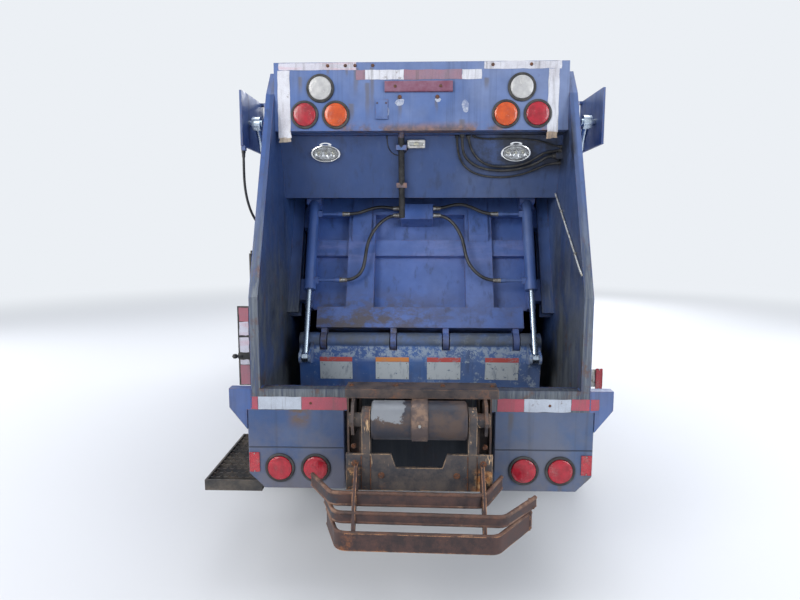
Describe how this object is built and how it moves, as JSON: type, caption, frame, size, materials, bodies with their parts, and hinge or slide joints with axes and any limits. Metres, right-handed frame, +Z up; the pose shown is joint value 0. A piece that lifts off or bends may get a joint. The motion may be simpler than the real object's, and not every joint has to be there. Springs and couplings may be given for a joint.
{
  "type": "mini rear-loading garbage truck",
  "caption": "Small cab-forward refuse truck with a rear hopper, a sliding and sweeping packer, a lifting tailgate and a cart tipper on its sill",
  "frame": {"origin": "on the ground under the middle of the box round the whole truck", "axes": "+X right, +Y forward, +Z up, as the driver sits"},
  "size_m": [2.44, 6.1294, 2.4719],
  "materials": {
    "body_paint": "faded satin blue paint over steel, chipped and dirty",
    "cab_paint": "satin blue paint",
    "chassis_paint": "satin black paint",
    "rusty_steel": "bare hot rolled steel, rusted",
    "cast_metal": "rough cast metal",
    "bright_steel": "ground steel rod",
    "tank_metal": "plain aluminium",
    "silencer_metal": "heat stained steel",
    "wheel_paint": "white wheel enamel",
    "tyre": "road tyre rubber",
    "window_glass": "clear safety glass",
    "clear_lens": "clear ribbed lens",
    "red_lens": "red ribbed lens",
    "amber_lens": "amber ribbed lens",
    "hose_rubber": "black braided hose rubber",
    "cab_trim": "grained plastic",
    "seat_cloth": "woven seat cloth",
    "mirror_housing": "black plastic"
  },
  "bodies": {
    "chassis": {"frame_rails": "chassis_paint", "leaf_springs": "chassis_paint", "front_axle": "chassis_paint", "rear_axle": "chassis_paint", "engine": "cast_metal", "drive_shaft": "chassis_paint", "fuel_tank": "tank_metal", "exhaust": "silencer_metal", "battery_box": "chassis_paint", "front_bumper": "chassis_paint", "front_lamps": "clear_lens", "rear_fenders": "chassis_paint", "body_shell": "body_paint"},
    "knuckle_left": {"knuckle_left": "chassis_paint"},
    "knuckle_right": {"knuckle_right": "chassis_paint"},
    "front_wheel_left": {"front_tyre_left": "tyre", "front_rim_left": "wheel_paint"},
    "front_wheel_right": {"front_tyre_right": "tyre", "front_rim_right": "wheel_paint"},
    "rear_wheels_left": {"rear_tyres_left": "tyre", "rear_rims_left": "wheel_paint"},
    "rear_wheels_right": {"rear_tyres_right": "tyre", "rear_rims_right": "wheel_paint"},
    "ejector": {"ejector_panel": "body_paint"},
    "lift_barrels": {"lift_barrels": "body_paint"},
    "lift_rods": {"lift_rods": "bright_steel"},
    "tailgate": {"tailgate_shell": "body_paint", "light_bar": "body_paint", "clear_lamps": "clear_lens", "red_lamps": "red_lens", "amber_lamps": "amber_lens", "lamp_boxes": "body_paint", "riding_step": "chassis_paint", "grab_rails": "chassis_paint", "lifter_frame": "body_paint", "lifter_drum": "body_paint", "side_hose": "hose_rubber", "lamp_cable": "hose_rubber"},
    "tie_rod": {"tie_rod": "chassis_paint"},
    "cart_lifter": {"lifter_arms": "body_paint", "lifter_hoops": "rusty_steel"},
    "carriage": {"carriage_panel": "body_paint", "sweep_barrels": "body_paint", "hose_upper_left": "hose_rubber", "hose_lower_left": "hose_rubber", "hose_upper_right": "hose_rubber", "hose_lower_right": "hose_rubber"},
    "blade": {"sweep_blade": "body_paint"},
    "sweep_rods": {"sweep_rods": "bright_steel"},
    "cab": {"cab_shell": "cab_paint", "grille": "mirror_housing", "cab_glass": "window_glass", "dashboard": "cab_trim", "steering_wheel": "cab_trim", "seats": "seat_cloth", "mirrors": "mirror_housing"},
    "door_left": {"door_left": "cab_paint", "door_glass_left": "window_glass"},
    "door_right": {"door_right": "cab_paint", "door_glass_right": "window_glass"}
  },
  "joints": [
    {"name": "steer_left", "type": "hinge", "parent": "chassis", "child": "knuckle_left", "pos_m": [-0.7, 1.965, 0.405], "axis": [0, 0, 1], "range_deg": [-35, 35]},
    {"name": "steer_right", "type": "hinge", "parent": "chassis", "child": "knuckle_right", "pos_m": [0.7, 1.965, 0.405], "axis": [0, 0, 1], "range_deg": [-35, 35]},
    {"name": "front_left_spin", "type": "hinge", "parent": "knuckle_left", "child": "front_wheel_left", "pos_m": [-0.87, 1.965, 0.405], "axis": [1, 0, 0], "continuous": true},
    {"name": "front_right_spin", "type": "hinge", "parent": "knuckle_right", "child": "front_wheel_right", "pos_m": [0.87, 1.965, 0.405], "axis": [1, 0, 0], "continuous": true},
    {"name": "rear_left_spin", "type": "hinge", "parent": "chassis", "child": "rear_wheels_left", "pos_m": [-0.825, -1.135, 0.405], "axis": [1, 0, 0], "continuous": true},
    {"name": "rear_right_spin", "type": "hinge", "parent": "chassis", "child": "rear_wheels_right", "pos_m": [0.825, -1.135, 0.405], "axis": [1, 0, 0], "continuous": true},
    {"name": "cab_tilt", "type": "hinge", "parent": "chassis", "child": "cab", "pos_m": [0, 2.95, 0.735], "axis": [-1, 0, 0], "range_deg": [0, 45]},
    {"name": "tie_rod_slide", "type": "slide", "parent": "chassis", "child": "tie_rod", "axis": [1, 0, 0], "range_m": [-0.1, 0.1]},
    {"name": "door_left_hinge", "type": "hinge", "parent": "cab", "child": "door_left", "pos_m": [-1.012, 2.86, 1.3], "axis": [0, 0, -1], "range_deg": [0, 70]},
    {"name": "door_right_hinge", "type": "hinge", "parent": "cab", "child": "door_right", "pos_m": [1.012, 2.86, 1.3], "axis": [0, 0, 1], "range_deg": [0, 70]},
    {"name": "tailgate_lift", "type": "hinge", "parent": "chassis", "child": "tailgate", "pos_m": [0, -1.485, 2.44], "axis": [-1, 0, 0], "range_deg": [0, 80]},
    {"name": "lift_barrel_swing", "type": "hinge", "parent": "chassis", "child": "lift_barrels", "pos_m": [0, -1.085, 1.45], "axis": [-1, 0, 0], "range_deg": [0, 16]},
    {"name": "lift_rod_slide", "type": "slide", "parent": "lift_barrels", "child": "lift_rods", "axis": [0, -0.688, 0.7257], "range_m": [0, 0.39]},
    {"name": "carriage_slide", "type": "slide", "parent": "tailgate", "child": "carriage", "axis": [0, 0.4067, 0.9135], "range_m": [0, 0.5]},
    {"name": "blade_swing", "type": "hinge", "parent": "carriage", "child": "blade", "pos_m": [0, -2.165, 1.06], "axis": [-1, 0, 0], "range_deg": [0, 100]},
    {"name": "sweep_rod_slide", "type": "slide", "parent": "carriage", "child": "sweep_rods", "axis": [0, -0.4117, -0.9113], "range_m": [-0.21, 0]},
    {"name": "cart_lifter_swing", "type": "hinge", "parent": "tailgate", "child": "cart_lifter", "pos_m": [0, -2.835, 0.86], "axis": [-1, 0, 0], "range_deg": [0, 150]},
    {"name": "ejector_slide", "type": "slide", "parent": "chassis", "child": "ejector", "axis": [0, -1, 0], "range_m": [0, 2.1]}
  ],
  "couplings": [
    {"joint": "steer_right", "follows": "steer_left", "ratio": 1},
    {"joint": "tie_rod_slide", "follows": "steer_left", "m_per_rad": 0.16},
    {"joint": "lift_barrel_swing", "follows": "tailgate_lift", "ratio": 0.196},
    {"joint": "lift_rod_slide", "follows": "tailgate_lift", "m_per_rad": 0.2743},
    {"joint": "sweep_rod_slide", "follows": "blade_swing", "m_per_rad": -0.1186}
  ]
}
